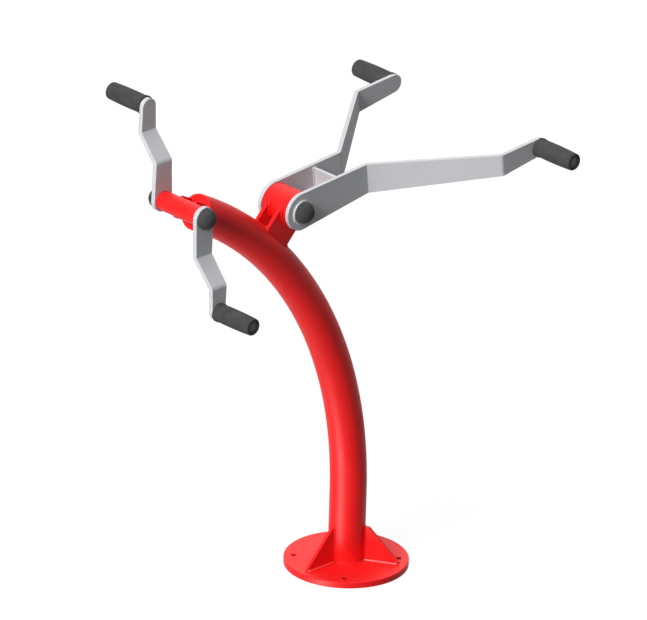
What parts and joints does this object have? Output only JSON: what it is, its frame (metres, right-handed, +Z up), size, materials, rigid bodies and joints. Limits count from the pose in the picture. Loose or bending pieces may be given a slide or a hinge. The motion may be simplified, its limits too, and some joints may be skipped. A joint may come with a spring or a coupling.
{
  "type": "outdoor arm bike",
  "caption": "Free-standing outdoor arm exerciser: a curved tube post on a bolted flange carries a hand crank at its tip and a rocking double lever with splayed arms.",
  "frame": {"origin": "middle of the base flange's underside, at the centre of its bolt circle", "axes": "+Z up; the post leans towards -X; the lever points to +X; both axles run along Y; the pictured near side is -Y"},
  "size_m": [0.9849, 0.7426, 1.3355],
  "materials": {
    "red_paint": "semi-gloss powder coat",
    "grey_paint": "satin powder coat",
    "cap_plastic": "moulded black plastic",
    "grip_rubber": "fine grained rubber",
    "plug_plastic": "moulded grey-black plastic",
    "steel": "ground steel",
    "bush_plastic": "plain bearing plastic"
  },
  "bodies": {
    "stand": {"base_flange": "red_paint", "gusset_front": "red_paint", "gusset_near": "red_paint", "gusset_far": "red_paint", "post_tube": "red_paint", "post_end_plate": "red_paint", "crank_housing": "red_paint", "lever_housing": "red_paint", "lever_brake_bush": "bush_plastic", "crank_cheek_near": "red_paint", "crank_bearing_outer_near": "steel", "lever_cheek_near": "red_paint", "lever_bearing_outer_near": "steel", "crank_cheek_far": "red_paint", "crank_bearing_outer_far": "steel", "lever_cheek_far": "red_paint", "lever_bearing_outer_far": "steel"},
    "crank": {"crank_axle": "steel", "crank_shims": "steel", "crank_axle_bolts": "steel", "crank_bearing_balls": "steel", "crank_grip_screws": "steel", "crank_arm_near": "grey_paint", "crank_cap_near": "cap_plastic", "crank_bearing_inner_near": "steel", "crank_grip_pin_near": "steel", "crank_arm_far": "grey_paint", "crank_cap_far": "cap_plastic", "crank_bearing_inner_far": "steel", "crank_grip_pin_far": "steel"},
    "lever": {"lever_shaft": "steel", "lever_cross_plate": "grey_paint", "lever_shims": "steel", "lever_shaft_bolts": "steel", "lever_bearing_balls": "steel", "lever_grip_screws": "steel", "lever_hub_ring_near": "grey_paint", "lever_arm_near": "grey_paint", "lever_cap_near": "cap_plastic", "lever_bearing_inner_near": "steel", "lever_grip_pin_near": "steel", "lever_hub_ring_far": "grey_paint", "lever_arm_far": "grey_paint", "lever_cap_far": "cap_plastic", "lever_bearing_inner_far": "steel", "lever_grip_pin_far": "steel"},
    "crank_near_grip": {"crank_grip_near": "grip_rubber", "crank_grip_bushes_near": "bush_plastic", "crank_grip_cap_near": "plug_plastic"},
    "lever_near_grip": {"lever_grip_near": "grip_rubber", "lever_grip_bushes_near": "bush_plastic", "lever_grip_cap_near": "plug_plastic"},
    "crank_far_grip": {"crank_grip_far": "grip_rubber", "crank_grip_bushes_far": "bush_plastic", "crank_grip_cap_far": "plug_plastic"},
    "lever_far_grip": {"lever_grip_far": "grip_rubber", "lever_grip_bushes_far": "bush_plastic", "lever_grip_cap_far": "plug_plastic"}
  },
  "joints": [
    {"name": "crank_spin", "type": "hinge", "parent": "stand", "child": "crank", "pos_m": [-0.57589, 0, 1.08971], "axis": [0, 1, 0], "continuous": true},
    {"name": "lever_swing", "type": "hinge", "parent": "stand", "child": "lever", "pos_m": [-0.22972, 0, 0.99876], "axis": [0, -1, 0], "range_deg": [-50, 70]},
    {"name": "crank_near_grip_spin", "type": "hinge", "parent": "crank", "child": "crank_near_grip", "pos_m": [-0.57589, -0.19, 0.86771], "axis": [0, 1, 0], "continuous": true},
    {"name": "crank_far_grip_spin", "type": "hinge", "parent": "crank", "child": "crank_far_grip", "pos_m": [-0.57589, 0.19, 1.31171], "axis": [0, 1, 0], "continuous": true},
    {"name": "lever_near_grip_spin", "type": "hinge", "parent": "lever", "child": "lever_near_grip", "pos_m": [0.35699, -0.31, 1.06561], "axis": [0, 1, 0], "continuous": true},
    {"name": "lever_far_grip_spin", "type": "hinge", "parent": "lever", "child": "lever_far_grip", "pos_m": [0.35699, 0.31, 1.06561], "axis": [0, 1, 0], "continuous": true}
  ]
}
